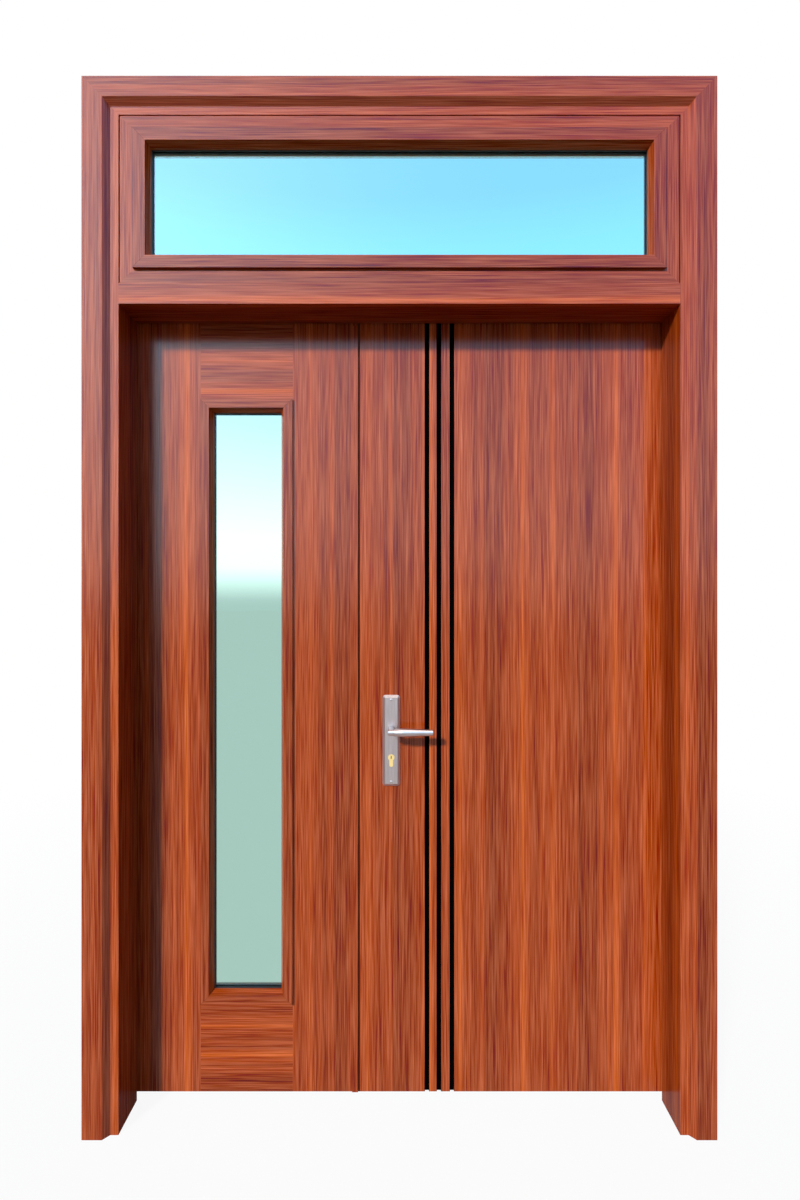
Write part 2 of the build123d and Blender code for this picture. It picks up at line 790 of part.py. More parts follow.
# Lock cylinder: one keyhole-shaped barrel through the leaf, proud of both plates
with BuildPart() as lock_cylinder:
    cylinder_end = leaf_back + plate_thickness + cylinder_proud
    cylinder_length = leaf_thickness + 2 * (plate_thickness + cylinder_proud)
    with BuildSketch(upright_plane(cylinder_end)):
        cylinder_profile()
    extrude(amount=cylinder_length)
    for keyway_start in (cylinder_end, cylinder_end - cylinder_length + keyway_depth):
        with BuildSketch(upright_plane(keyway_start)):
            with Locations((lock_x, cylinder_z)):
                Rectangle(keyway_width, keyway_height)
        extrude(amount=keyway_depth, mode=Mode.SUBTRACT)
lock_cylinder.part.label = "lock_cylinder"
export_step(lock_cylinder.part, "parts/lock_cylinder.step")

# Lever: a round neck is mitred into a grip that swells, then tapers to its tip
neck_root = leaf_front - neck_leaf_gap
grip_y = leaf_front - lever_standoff
grip_tip = lock_x + lever_length
lever_mitre = Plane(origin=(lock_x, grip_y, spindle_z), z_dir=(1, -1, 0))
with BuildPart() as lever_grip:
    with BuildSketch(Plane.XY.offset(spindle_z)) as grip_profile:
        with BuildLine():
            Polyline(
                (lock_x - neck_radius, grip_y),
                (lock_x - neck_radius, grip_y + neck_radius),
                (lock_x + neck_radius, grip_y + neck_radius),
                (lock_x + grip_swell_distance, grip_y + grip_swell_radius),
                (grip_tip, grip_y + grip_tip_radius),
                (grip_tip, grip_y),
                close=True,
            )
        make_face()
        chamfer(grip_profile.vertices().group_by(Axis.X)[-1].sort_by(Axis.Y)[-1], length=grip_tip_chamfer)
    revolve(axis=Axis((lock_x, grip_y, spindle_z), (1, 0, 0)))
    split(bisect_by=lever_mitre, keep=Keep.TOP)
with BuildPart() as front_lever:
    with BuildSketch(upright_plane(neck_root)):
        with Locations((lock_x, spindle_z)):
            Circle(neck_radius)
    extrude(amount=neck_root - grip_y + neck_radius)
    split(bisect_by=lever_mitre, keep=Keep.BOTTOM)
    add(lever_grip.part)
front_lever.part.label = "front_lever"
export_step(front_lever.part, "parts/front_lever.step")

with BuildPart() as back_lever:
    mirror(front_lever.part, about=leaf_middle_plane)
back_lever.part.label = "back_lever"
export_step(back_lever.part, "parts/back_lever.step")

# Square spindle joining the two levers through the leaf
with BuildPart() as spindle:
    with BuildSketch(upright_plane(leaf_back + neck_leaf_gap)):
        with Locations((lock_x, spindle_z)):
            Rectangle(spindle_size, spindle_size)
    extrude(amount=leaf_thickness + 2 * neck_leaf_gap)
spindle.part.label = "spindle"
export_step(spindle.part, "parts/spindle.step")
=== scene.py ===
"""Steel double door with a wood-grain print: finishes, screws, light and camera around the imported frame."""

import bpy
from bpy.props import FloatProperty, FloatVectorProperty, PointerProperty
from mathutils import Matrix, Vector


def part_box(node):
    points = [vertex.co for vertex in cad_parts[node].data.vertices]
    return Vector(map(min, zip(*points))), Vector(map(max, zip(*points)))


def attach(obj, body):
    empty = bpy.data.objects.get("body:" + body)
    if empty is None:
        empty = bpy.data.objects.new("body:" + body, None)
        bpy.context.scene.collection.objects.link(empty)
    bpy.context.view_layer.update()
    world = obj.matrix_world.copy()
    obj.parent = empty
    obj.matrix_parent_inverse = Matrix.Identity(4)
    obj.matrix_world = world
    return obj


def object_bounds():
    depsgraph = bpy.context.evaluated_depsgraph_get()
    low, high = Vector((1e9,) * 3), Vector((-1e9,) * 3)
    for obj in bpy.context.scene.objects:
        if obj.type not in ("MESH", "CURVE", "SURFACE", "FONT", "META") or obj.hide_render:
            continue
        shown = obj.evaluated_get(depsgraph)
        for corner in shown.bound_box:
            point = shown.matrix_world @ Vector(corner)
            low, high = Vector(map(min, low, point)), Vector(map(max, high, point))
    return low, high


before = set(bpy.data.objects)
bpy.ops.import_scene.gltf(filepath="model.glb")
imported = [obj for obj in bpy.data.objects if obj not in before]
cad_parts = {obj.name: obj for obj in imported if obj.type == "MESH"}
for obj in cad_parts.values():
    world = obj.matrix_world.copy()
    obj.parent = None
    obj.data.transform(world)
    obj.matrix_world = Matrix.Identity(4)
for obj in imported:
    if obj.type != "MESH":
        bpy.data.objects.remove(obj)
CAD_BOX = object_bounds()

bl_info = {
    "name": "Steel Door Finishes",
    "version": (1, 0, 0),
    "blender": (4, 5, 0),
    "location": "View3D > Sidebar > Steel Door",
    "description": "Dresses a packed steel double door and sets its studio",
    "category": "Object",
}

MM = 0.001
# Slope of the bevelled meeting edges, sideways over depth
EDGE_BEVEL = 3 / 50

# Printed pieces, each with the place of an orange line across its grain, in metres
FRAME_UPRIGHTS = {"left_jamb": 0.21, "right_jamb": 1.46, "left_casing": 0.11, "right_casing": 1.34,
                  "transom_left_stile": 0.02, "transom_right_stile": 1.53}
FRAME_LEVELS = {"head": 2.445, "head_casing": 2.45, "transom_bar": 2.06, "transom_top_rail": 2.38,
                "transom_bottom_rail": 2.17}
LEAF_UPRIGHTS = {"left_leaf_hinge_stile": 0.296, "left_leaf_meeting_stile": 0.787, "meeting_strip": 0.787,
                 "right_leaf_panel": 1.185}
LEAF_LEVELS = {"left_leaf_top_rail": 1.99, "left_leaf_bottom_rail": 0.231}
MITRED_BEADS = {"transom_front_beads": 0.07, "transom_back_beads": 0.13, "left_leaf_front_beads": 0.19,
                "left_leaf_back_beads": 0.03}
# Pieces whose folds run back towards lower x or z, so the grain is counted the other way round them
FOLDED_BACK = ("right_casing", "head_casing")
# Pieces with returns that run back into the reveal, which get a darker tint there as painted shade, and beads
# with bevels that run back to the glass, which only lose gloss there
SHADED_RETURNS = ("left_jamb", "right_jamb", "transom_bar")
BEVELLED = ("transom_front_beads", "left_leaf_front_beads")
RUBBER = ("transom_gaskets", "left_leaf_gaskets", "door_seal")
UPRIGHT_STEEL = ("front_lock_plate", "back_lock_plate", "lock_faceplate", "lock_bolts", "strike_plate",
                 "flush_bolts", "left_hinge_frame_halves", "right_hinge_frame_halves",
                 "left_hinge_leaf_halves", "right_hinge_leaf_halves")
LEVEL_STEEL = ("front_lever", "back_lever", "spindle")
# Plates on the meeting edges: body, the way they face along X, and the height of one plate
EDGE_PLATES = {"lock_faceplate": ("right_leaf", -1, 235 * MM), "strike_plate": ("left_leaf", 1, 160 * MM),
               "flush_bolts": ("left_leaf", 1, 170 * MM)}
# Hinge halves: body, and the way their plates face along X
HINGE_HALVES = {"left_hinge_frame_halves": ("frame", 1), "left_hinge_leaf_halves": ("left_leaf", -1),
                "right_hinge_frame_halves": ("frame", -1), "right_hinge_leaf_halves": ("right_leaf", 1)}
HINGE_SCREWS = 4
# From a hinge plate's front edge to its two rows of screws, and from the pin's plane to a plate's face
HINGE_ROWS = (26 * MM, 10 * MM)
HINGE_FACE = 0.5 * MM
# Meeting lip: root in the seal, gap to the wide leaf, setback from the seal's front and thickness
LIP_ROOT = 0.3 * MM
LIP_GAP = 0.1 * MM
LIP_SETBACK = 0.3 * MM
LIP_THICKNESS = 2 * MM
# Half sizes of the painted shade in the lock cylinder's keyway
KEYWAY_HALF_WIDTH = 1.2 * MM
KEYWAY_HALF_HEIGHT = 4 * MM
# Brush lines on steel: spacing across them and length along them
BRUSH_WIDTH = 2 * MM
BRUSH_LENGTH = 60 * MM
# Depth over which the print changes from a front face to a return, where the duller coat and, on the jambs
# and transom bar, the painted shade set in
RETURN_START = 0.5 * MM
RETURN_END = 1.5 * MM
# Clear coat: its index, and its specular level on front faces and on the faces that run back
COAT_IOR = 1.4
FRONT_SPECULAR = 0.5
RETURN_SPECULAR = 0.12
# Relief of the fibres under the coat
EMBOSS_STRENGTH = 0.05
EMBOSS_HEIGHT = 0.4 * MM

# Noise layers of the print: width across the grain and reach along it in metres, seed and detail
WANDER_LAYER = (0.09, 0.6, 3.1, 1.0)
STREAK_LAYER = (0.013, 1.4, 23.9, 2.0)
FLECK_LAYER = (0.008, 0.3, 41.7, 1.0)
FIBRE_SEED = 37.3
FIBRE_DETAIL = 2.0
# Sideways wander in metres, the layers' shares of the tone, and the fibres' share of each colour channel
WANDER = 0.006
STREAK_SHARE = 0.7
FLECK_SHARE = 0.25
FIBRE_SHARES = (0.68, 0.265, 0.145)
DARKEST = (0.02, 0.004, 0.001)

# Tone of the print over one repeat: the orange line, a light line, the brown zone and a light shoulder
REPEAT_TONES = ((0.0, 0.9), (0.05, 0.58), (0.1, 0.4), (0.28, 0.5), (0.324, 0.76), (0.37, 0.5), (0.52, 0.4),
                (0.575, 0.55), (0.61, 0.25), (0.74, 0.29), (0.85, 0.48), (0.9, 0.42), (0.93, 0.62),
                (0.96, 0.52), (1.0, 0.9))

# Sky by the height of a ray: haze at the horizon, white above it, then deeper and deeper blue
SKY = ((0.0, (0.384, 0.39, 0.413, 1)), (0.01, (0.415, 0.41, 0.44, 1)), (0.034, (0.67, 0.645, 0.69, 1)),
       (0.06, (0.985, 0.95, 1.0, 1)), (0.105, (1.0, 0.95, 1.0, 1)), (0.195, (0.75, 0.85, 1.0, 1)),
       (0.267, (0.57, 0.75, 1.0, 1)), (0.43, (0.32, 0.61, 0.97, 1)), (0.485, (0.285, 0.565, 0.95, 1)),
       (0.54, (0.26, 0.48, 0.9, 1)), (1.0, (0.2, 0.38, 0.8, 1)))
SKY_STRENGTH = 1.72
# What gloss sees of it: a deeper blue, a white softbox overhead and a glow around the key light
GLOSS_TINT = (1.0, 1.35, 1.6)
SOFTBOX = (1.45, 1.5, 1.55, 1.0)
SOFTBOX_START = 0.62
SOFTBOX_END = 0.74
GLOW = (2.0, 2.6, 2.7)
GLOW_POWER = 15.0
# Floor as glass shows it, and the distances between which it turns white for the camera
FLOOR_BEHIND_GLASS = (0.684, 0.676, 0.724, 1.0)
FLOOR_NEAR = 0.8
FLOOR_FAR = 4.0
WHITE = (1.0, 1.0, 1.0, 1.0)
SENSOR_WIDTH = 36


def linear(hex_colour):
    """An sRGB hex colour as linear RGBA."""
    channels = [int(hex_colour[i:i + 2], 16) / 255 for i in (0, 2, 4)]
    return (*[c / 12.92 if c <= 0.04045 else ((c + 0.055) / 1.055) ** 2.4 for c in channels], 1.0)


def add(tree, kind, inputs=None, **settings):
    """A node with its settings, its input values and the links into it."""
    node = tree.nodes.new(kind)
    for name, value in settings.items():
        setattr(node, name, value)
    for name, value in (inputs or {}).items():
        if isinstance(value, bpy.types.NodeSocket):
            tree.links.new(value, node.inputs[name])
        else:
            node.inputs[name].default_value = value
    return node


def new_material(name):
    """An empty node material and its tree."""
    material = bpy.data.materials.new(name)
    material.use_nodes = True
    material.node_tree.nodes.clear()
    return material, material.node_tree


def even_finish(name, inputs):
    """A finish without any pattern."""
    material, tree = new_material(name)
    shader = add(tree, "ShaderNodeBsdfPrincipled", inputs)
    add(tree, "ShaderNodeOutputMaterial", {"Surface": shader.outputs[0]})
    return material


def ramp_of(tree, factor, stops):
    """A colour ramp with the given stops, read at a socket."""
    ramp = add(tree, "ShaderNodeValToRGB", {"Fac": factor})
    elements = ramp.color_ramp.elements
    elements.remove(elements[1])
    for index, (position, colour) in enumerate(stops):
        element = elements[0] if index == 0 else elements.new(position)
        element.position = position
        element.color = colour
    return ramp.outputs["Color"]


def dress(node_name, material):
    """Gives a CAD node one finish all over."""
    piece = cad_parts[node_name]
    piece.data.materials.clear()
    piece.data.materials.append(material)


class DoorPrint(bpy.types.PropertyGroup):
    """Wood grain printed on the steel sheet."""

    dark: FloatVectorProperty(
        name="Dark grain", description="Colour of the darkest streaks", subtype="COLOR", size=4,
        default=linear("89360D"), min=0, max=1)
    brown: FloatVectorProperty(
        name="Brown zone", description="Colour of the broad brown zone", subtype="COLOR", size=4,
        default=linear("943E15"), min=0, max=1)
    middle: FloatVectorProperty(
        name="Ground", description="Colour between the streaks", subtype="COLOR", size=4,
        default=linear("A5461A"), min=0, max=1)
    light: FloatVectorProperty(
        name="Light grain", description="Colour of the light streaks", subtype="COLOR", size=4,
        default=linear("B6501F"), min=0, max=1)
    orange: FloatVectorProperty(
        name="Orange line", description="Colour of the bright line in each repeat", subtype="COLOR", size=4,
        default=linear("CC5F20"), min=0, max=1)
    repeat: FloatProperty(
        name="Repeat", description="Width of one repeat of the printed film", default=0.245,
        unit="LENGTH", min=0.01)
    fibre_width: FloatProperty(
        name="Fibre width", description="Spacing of the finest fibres", default=0.0028, unit="LENGTH",
        min=0.0005)
    fibre_length: FloatProperty(
        name="Fibre length", description="Length of the finest fibres", default=0.15, unit="LENGTH",
        min=0.005)
    # Painted shade: a darker tint on the print of the faces that run back into the reveal, standing in for
    # the shade there
    return_shade: FloatVectorProperty(
        name="Returns", description="Tint of the print on the faces that run back into the reveal",
        subtype="COLOR", size=4, default=(0.72, 0.68, 0.5, 1.0), min=0, max=1)
    gloss: FloatProperty(
        name="Roughness", description="Roughness of the clear coat", subtype="FACTOR", default=0.2,
        min=0, max=1)


class DoorScrews(bpy.types.PropertyGroup):
    """Screws of the lock, strike, flush bolts and hinges."""

    head_radius: FloatProperty(
        name="Head radius", description="Radius of a screw head", default=3.5 * MM, unit="LENGTH", min=0.001)
    slot_width: FloatProperty(
        name="Slot width", description="Width of the cross recess", default=0.9 * MM, unit="LENGTH",
        min=0.0002)
    raised: FloatProperty(
        name="Raised", description="Rise of the heads on the lock plates", default=1.1 * MM, unit="LENGTH",
        min=0.0001)
    flush: FloatProperty(
        name="Flush", description="Rise of the heads in edges and hinges", default=0.3 * MM, unit="LENGTH",
        min=0.0001)
    plate_end: FloatProperty(
        name="Plate end", description="From a lock plate's end to its screw", default=12 * MM, unit="LENGTH",
        min=0.001)
    edge_end: FloatProperty(
        name="Edge plate end", description="From an edge plate's end to its screw", default=9 * MM,
        unit="LENGTH", min=0.001)
    hinge_height: FloatProperty(
        name="Hinge height", description="Height of one hinge plate", default=120 * MM, unit="LENGTH",
        min=0.01)


class DoorStage(bpy.types.PropertyGroup):
    """Camera, light and floor."""

    lens: FloatProperty(
        name="Lens", description="Focal length on a 36 mm sensor, in millimetres", default=19.03, min=5)
    distance: FloatProperty(
        name="Distance", description="From the camera to the frame's front face", default=1.5645,
        unit="LENGTH", min=0.1)
    shift_x: FloatProperty(
        name="Shift across", description="Lens shift to the side", default=0.0005)
    shift_y: FloatProperty(
        name="Shift up", description="Lens shift upwards", default=0.0052)
    floor_size: FloatProperty(
        name="Floor size", description="Length of the floor's sides", default=400, unit="LENGTH", min=1)
    floor_white: FloatProperty(
        name="Floor white", description="White share of the floor near the door", subtype="FACTOR",
        default=0.92, min=0, max=1)
    eye_height: FloatProperty(
        name="Eye height", description="Camera height over the floor", default=1.3045,
        unit="LENGTH", min=0)
    sun_travel: FloatVectorProperty(
        name="Sunlight", description="Direction in which the key light travels", subtype="DIRECTION",
        size=3, default=(0.57, 1.0, -0.60))
    sun_strength: FloatProperty(
        name="Key strength", description="Strength of the key light", default=3.2, min=0)
    sun_angle: FloatProperty(
        name="Key softness", description="Angle across the key light", subtype="ANGLE", default=0.1, min=0)
    fill_strength: FloatProperty(
        name="Fill strength", description="Strength of the sky as a diffuse fill", default=0.16, min=0)


def grain_axes(tree, along, node_name):
    """Sockets that run across and along the grain, in metres. Across follows the sheet round its folds."""
    place = add(tree, "ShaderNodeTexCoord").outputs["Object"]
    x, y, z = add(tree, "ShaderNodeSeparateXYZ", {"Vector": place}).outputs
    if along in ("UPRIGHT", "LEVEL"):
        side, length = (x, z) if along == "UPRIGHT" else (z, x)
        fold = "SUBTRACT" if node_name in FOLDED_BACK else "ADD"
        return add(tree, "ShaderNodeMath", {0: side, 1: y}, operation=fold).outputs[0], length
    # Mitred bars: a point belongs to the upright bar where it is nearer to that side of the ring
    low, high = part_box(node_name)
    nearness = []
    for socket, first, last in ((x, low.x, high.x), (z, low.z, high.z)):
        offset = add(tree, "ShaderNodeMath", {0: socket, 1: (first + last) / 2}, operation="SUBTRACT")
        size = add(tree, "ShaderNodeMath", {0: offset.outputs[0]}, operation="ABSOLUTE")
        inside = add(tree, "ShaderNodeMath", {0: (last - first) / 2, 1: size.outputs[0]},
                     operation="SUBTRACT")
        nearness.append(inside.outputs[0])
    both = {0: nearness[0], 1: nearness[1]}
    is_level = add(tree, "ShaderNodeMath", both, operation="GREATER_THAN").outputs[0]
    inward = add(tree, "ShaderNodeMath", both, operation="MINIMUM").outputs[0]
    across = add(tree, "ShaderNodeMath", {0: inward, 1: y}, operation="ADD").outputs[0]
    length = add(tree, "ShaderNodeMix", {"Factor": is_level, "A": z, "B": x}, data_type="FLOAT")
    return across, length.outputs["Result"]


def shade_and_dull_returns(tree, shader, colour, shade_tint, front):
    """Paints shade on the print as a darker tint, and dulls its coat, on the faces that run back from a
    piece's front plane.
    """
    place = add(tree, "ShaderNodeTexCoord").outputs["Object"]
    depth = add(tree, "ShaderNodeSeparateXYZ", {"Vector": place}).outputs["Y"]
    share = add(tree, "ShaderNodeMapRange", {"Value": depth, "From Min": front + RETURN_START,
                "From Max": front + RETURN_END})
    tone = ramp_of(tree, share.outputs["Result"], ((0.0, WHITE), (1.0, shade_tint)))
    shaded = add(tree, "ShaderNodeVectorMath", {0: colour, 1: tone}, operation="MULTIPLY")
    tree.links.new(shaded.outputs[0], shader.inputs["Base Color"])
    level = add(tree, "ShaderNodeMapRange", {"Value": share.outputs["Result"], "To Min": FRONT_SPECULAR,
                "To Max": RETURN_SPECULAR})
    tree.links.new(level.outputs["Result"], shader.inputs["Specular IOR Level"])


def wood_grain_print(node_name, along, line_at):
    """Zinc-coated steel sheet with a reddish hardwood grain printed on it under a baked clear coat.

    The eye sees fine fibres, one bright orange line and one brown zone in each repeat of the film, and a
    semi-gloss that mirrors the reveal and the sky a little.
    """
    look = bpy.context.scene.door_print
    material, tree = new_material(f"wood_print_{node_name}")
    across, length = grain_axes(tree, along, node_name)

    def layer(width, reach, seed, detail, side):
        flat = add(tree, "ShaderNodeCombineXYZ", {"X": side, "Y": length, "Z": line_at + seed})
        scaled = add(tree, "ShaderNodeVectorMath", {0: flat.outputs[0], 1: (1 / width, 1 / reach, 1.0)},
                     operation="MULTIPLY")
        noise = add(tree, "ShaderNodeTexNoise", {"Vector": scaled.outputs[0], "Scale": 1.0,
                    "Detail": detail, "Roughness": 0.5})
        centred = add(tree, "ShaderNodeMath", {0: noise.outputs["Fac"], 1: 0.5}, operation="SUBTRACT")
        return centred.outputs[0]

    def times_plus(value, factor, addend):
        scaled = add(tree, "ShaderNodeMath", {0: value, 1: factor, 2: addend}, operation="MULTIPLY_ADD")
        return scaled.outputs[0]

    # The print wanders sideways a few millimetres, as real grain does
    bent = times_plus(layer(*WANDER_LAYER, across), WANDER, across)
    turns = times_plus(bent, 1 / look.repeat, -line_at / look.repeat)
    phase = add(tree, "ShaderNodeMath", {0: turns}, operation="FRACT").outputs[0]
    tone = ramp_of(tree, phase, [(place, (value, value, value, 1)) for place, value in REPEAT_TONES])
    tone = times_plus(layer(*STREAK_LAYER, bent), STREAK_SHARE, tone)
    tone = times_plus(layer(*FLECK_LAYER, bent), FLECK_SHARE, tone)
    colour = ramp_of(tree, tone, ((0.1, look.dark), (0.25, look.brown), (0.45, look.middle),
                                  (0.65, look.light), (0.9, look.orange)))
    fibres = layer(look.fibre_width, look.fibre_length, FIBRE_SEED, FIBRE_DETAIL, bent)
    fibred = add(tree, "ShaderNodeVectorMath", {0: fibres, 1: FIBRE_SHARES, 2: colour},
                 operation="MULTIPLY_ADD")
    kept = add(tree, "ShaderNodeVectorMath", {0: fibred.outputs[0], 1: DARKEST}, operation="MAXIMUM")
    emboss = add(tree, "ShaderNodeBump", {"Strength": EMBOSS_STRENGTH, "Distance": EMBOSS_HEIGHT,
                 "Height": fibres})
    shader = add(tree, "ShaderNodeBsdfPrincipled", {"Base Color": kept.outputs[0], "Roughness": look.gloss,
                 "IOR": COAT_IOR, "Normal": emboss.outputs[0]})
    # Painted shade: the print on the returns of the jambs and the transom bar is tinted darker, as the
    # reveal's shade
    if node_name in SHADED_RETURNS:
        shade_and_dull_returns(tree, shader, kept.outputs[0], look.return_shade, 0)
    if node_name in BEVELLED:
        shade_and_dull_returns(tree, shader, kept.outputs[0], WHITE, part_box(node_name)[0].y)
    add(tree, "ShaderNodeOutputMaterial", {"Surface": shader.outputs[0]})
    return material


class DOOR_OT_print_frame(bpy.types.Operator):
    """Prints the wood grain on jambs, head, casing, transom bar and sash"""

    bl_idname = "door.print_frame"
    bl_label = "Print frame"

    def execute(self, context):
        for name, line_at in FRAME_UPRIGHTS.items():
            dress(name, wood_grain_print(name, "UPRIGHT", line_at))
        for name, line_at in FRAME_LEVELS.items():
            dress(name, wood_grain_print(name, "LEVEL", line_at))
        return {"FINISHED"}


class DOOR_OT_print_leaves(bpy.types.Operator):
    """Prints the wood grain on both leaves"""

    bl_idname = "door.print_leaves"
    bl_label = "Print leaves"

    def execute(self, context):
        for name, line_at in LEAF_UPRIGHTS.items():
            dress(name, wood_grain_print(name, "UPRIGHT", line_at))
        for name, line_at in LEAF_LEVELS.items():
            dress(name, wood_grain_print(name, "LEVEL", line_at))
        return {"FINISHED"}


class DOOR_OT_print_beads(bpy.types.Operator):
    """Prints the wood grain on the mitred glazing beads, along each bar"""

    bl_idname = "door.print_beads"
    bl_label = "Print beads"

    def execute(self, context):
        for name, line_at in MITRED_BEADS.items():
            dress(name, wood_grain_print(name, "MITRED", line_at))
        return {"FINISHED"}


class DOOR_OT_glaze(bpy.types.Operator):
    """Gives both panes their pale green tinted glass, and the rubber and channels their blacks"""

    bl_idname = "door.glaze"
    bl_label = "Glaze"

    def execute(self, context):
        # Tinted glass: clear, with a pale green cast on what is seen through it
        glass = even_finish("pale_green_tinted_glass", {
            "Base Color": linear("C4F0DB"), "Roughness": 0.0, "IOR": 1.5, "Transmission Weight": 1.0})
        for name in ("transom_glass", "left_leaf_glass"):
            dress(name, glass)
        # Black rubber: a soft dark line around the panes
        rubber = even_finish("black_epdm_rubber", {
            "Base Color": linear("1C1714"), "Roughness": 0.6, "IOR": 1.5})
        for name in RUBBER:
            dress(name, rubber)
        # Brown rubber: the seal and its lip are real, coloured dark brown as painted shade, so the seam
        # between the leaves reads as the thin brown line of shade at the step
        brown = even_finish("brown_epdm_rubber_seam_shade", {
            "Base Color": linear("4A1F10"), "Roughness": 0.7, "Specular IOR Level": 0.1})
        dress("meeting_seal", brown)
        self.fit_lip(context, brown)
        # Matt black lining: the channels read as flat black lines
        lining = even_finish("matt_black_channel_lining", {
            "Base Color": linear("060404"), "Roughness": 0.8, "Specular IOR Level": 0.0})
        dress("channel_liners", lining)
        return {"FINISHED"}

    def fit_lip(self, context, rubber):
        """The meeting seal's soft lip, which shuts out the light between the leaves."""
        low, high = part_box("meeting_seal")
        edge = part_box("right_leaf_panel")[0]
        front = low.y + LIP_SETBACK
        corners = [(x, y, z) for x in (high.x - LIP_ROOT, edge.x - LIP_GAP)
                   for y in (front, front + LIP_THICKNESS) for z in (low.z, high.z)]
        faces = [(0, 1, 3, 2), (4, 6, 7, 5), (0, 4, 5, 1), (2, 3, 7, 6), (0, 2, 6, 4), (1, 5, 7, 3)]
        mesh = bpy.data.meshes.new("meeting_lip")
        mesh.from_pydata(corners, [], faces)
        mesh.materials.append(rubber)
        lip = bpy.data.objects.new("meeting_lip", mesh)
        context.scene.collection.objects.link(lip)
        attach(lip, "left_leaf")


def satin_steel(name, grain, metallic):
    """Satin stainless steel: a soft grey mirror with fine brush lines, drawn out by the grain's lengths."""
    material, tree = new_material(name)
    place = add(tree, "ShaderNodeTexCoord").outputs["Object"]
    scaled = add(tree, "ShaderNodeVectorMath", {0: place, 1: grain}, operation="DIVIDE")
    lines = add(tree, "ShaderNodeTexNoise", {"Vector": scaled.outputs[0], "Scale": 1.0, "Detail": 2.0})
    tone = ramp_of(tree, lines.outputs["Fac"], ((0.3, linear("B7A49D")), (0.7, linear("CDBAB3"))))
    shader = add(tree, "ShaderNodeBsdfPrincipled", {
        "Base Color": tone, "Metallic": metallic, "Roughness": 0.28})
    add(tree, "ShaderNodeOutputMaterial", {"Surface": shader.outputs[0]})
    return material


def screw_tree():
    """Geometry nodes that set a raised cross-head screw on each point, facing the point's own way."""
    tree = bpy.data.node_groups.new("raised_screw_heads", "GeometryNodeTree")
    for name, kind in (("Points", "Geometry"), ("Head radius", "Float"), ("Slot width", "Float"),
                       ("Material", "Material")):
        tree.interface.new_socket(name, in_out="INPUT", socket_type=f"NodeSocket{kind}")
    tree.interface.new_socket("Screws", in_out="OUTPUT", socket_type="NodeSocketGeometry")
    given = add(tree, "NodeGroupInput").outputs
    share = add(tree, "ShaderNodeMath", {0: given["Slot width"], 1: given["Head radius"]}, operation="DIVIDE")
    dome = add(tree, "GeometryNodeMeshUVSphere", {"Segments": 20, "Rings": 10, "Radius": 1.0})
    solid = dome.outputs["Mesh"]
    for long_axis in ("X", "Y"):
        wide_axis = "Y" if long_axis == "X" else "X"
        bar = add(tree, "ShaderNodeCombineXYZ", {long_axis: 1.1, wide_axis: share.outputs[0], "Z": 1.2})
        cutter = add(tree, "GeometryNodeMeshCube", {"Size": bar.outputs[0]})
        raised = add(tree, "GeometryNodeTransform", {"Geometry": cutter.outputs["Mesh"],
                     "Translation": (0.0, 0.0, 1.0)})
        cut = add(tree, "GeometryNodeMeshBoolean", {"Mesh 1": solid, "Mesh 2": raised.outputs[0]},
                  operation="DIFFERENCE")
        solid = cut.outputs["Mesh"]
    facing = add(tree, "GeometryNodeInputNamedAttribute", {"Name": "facing"}, data_type="FLOAT_VECTOR")
    turn = add(tree, "FunctionNodeAlignRotationToVector", {"Vector": facing.outputs["Attribute"]}, axis="Z")
    rise = add(tree, "GeometryNodeInputNamedAttribute", {"Name": "rise"}, data_type="FLOAT")
    size = add(tree, "ShaderNodeCombineXYZ", {"X": given["Head radius"], "Y": given["Head radius"],
               "Z": rise.outputs["Attribute"]})
    screws = add(tree, "GeometryNodeInstanceOnPoints", {"Points": given["Points"], "Instance": solid,
                 "Rotation": turn.outputs["Rotation"], "Scale": size.outputs[0]})
    real = add(tree, "GeometryNodeRealizeInstances", {"Geometry": screws.outputs["Instances"]})
    finished = add(tree, "GeometryNodeSetMaterial", {"Geometry": real.outputs["Geometry"],
                   "Material": given["Material"]})
    add(tree, "NodeGroupOutput", {"Screws": finished.outputs["Geometry"]})
    return tree


def screw_spots(sizes):
    """Place, facing and rise of each screw head, keyed by the body that it rides on."""
    spots = {"frame": [], "left_leaf": [], "right_leaf": []}
    for node, side in (("front_lock_plate", -1), ("back_lock_plate", 1)):
        low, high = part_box(node)
        face = low.y if side < 0 else high.y
        for z in (low.z + sizes.plate_end, high.z - sizes.plate_end):
            spots["right_leaf"].append((((low.x + high.x) / 2, face, z), (0, side, 0), sizes.raised))
    # Plates on the meeting edges lean with the edge's bevel
    for node, (body, side, height) in EDGE_PLATES.items():
        low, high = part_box(node)
        outer = low.x if side < 0 else high.x
        face = outer - side * EDGE_BEVEL * (high.y - low.y) / 2
        for base in sorted({round(low.z, 4), round(high.z - height, 4)}):
            for z in (base + sizes.edge_end, base + height - sizes.edge_end):
                spots[body].append(((face, (low.y + high.y) / 2, z), (side, EDGE_BEVEL, 0), sizes.flush))
    # The screws of each hinge plate stand in a zigzag
    for node, (body, side) in HINGE_HALVES.items():
        low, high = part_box(node)
        face = (low.x + high.x) / 2 - side * HINGE_FACE
        for base in (low.z, (low.z + high.z - sizes.hinge_height) / 2, high.z - sizes.hinge_height):
            for index in range(HINGE_SCREWS):
                z = base + sizes.hinge_height * (index + 0.5) / HINGE_SCREWS
                y = low.y + HINGE_ROWS[index % 2]
                spots[body].append(((face, y, z), (side, 0, 0), sizes.flush))
    return spots


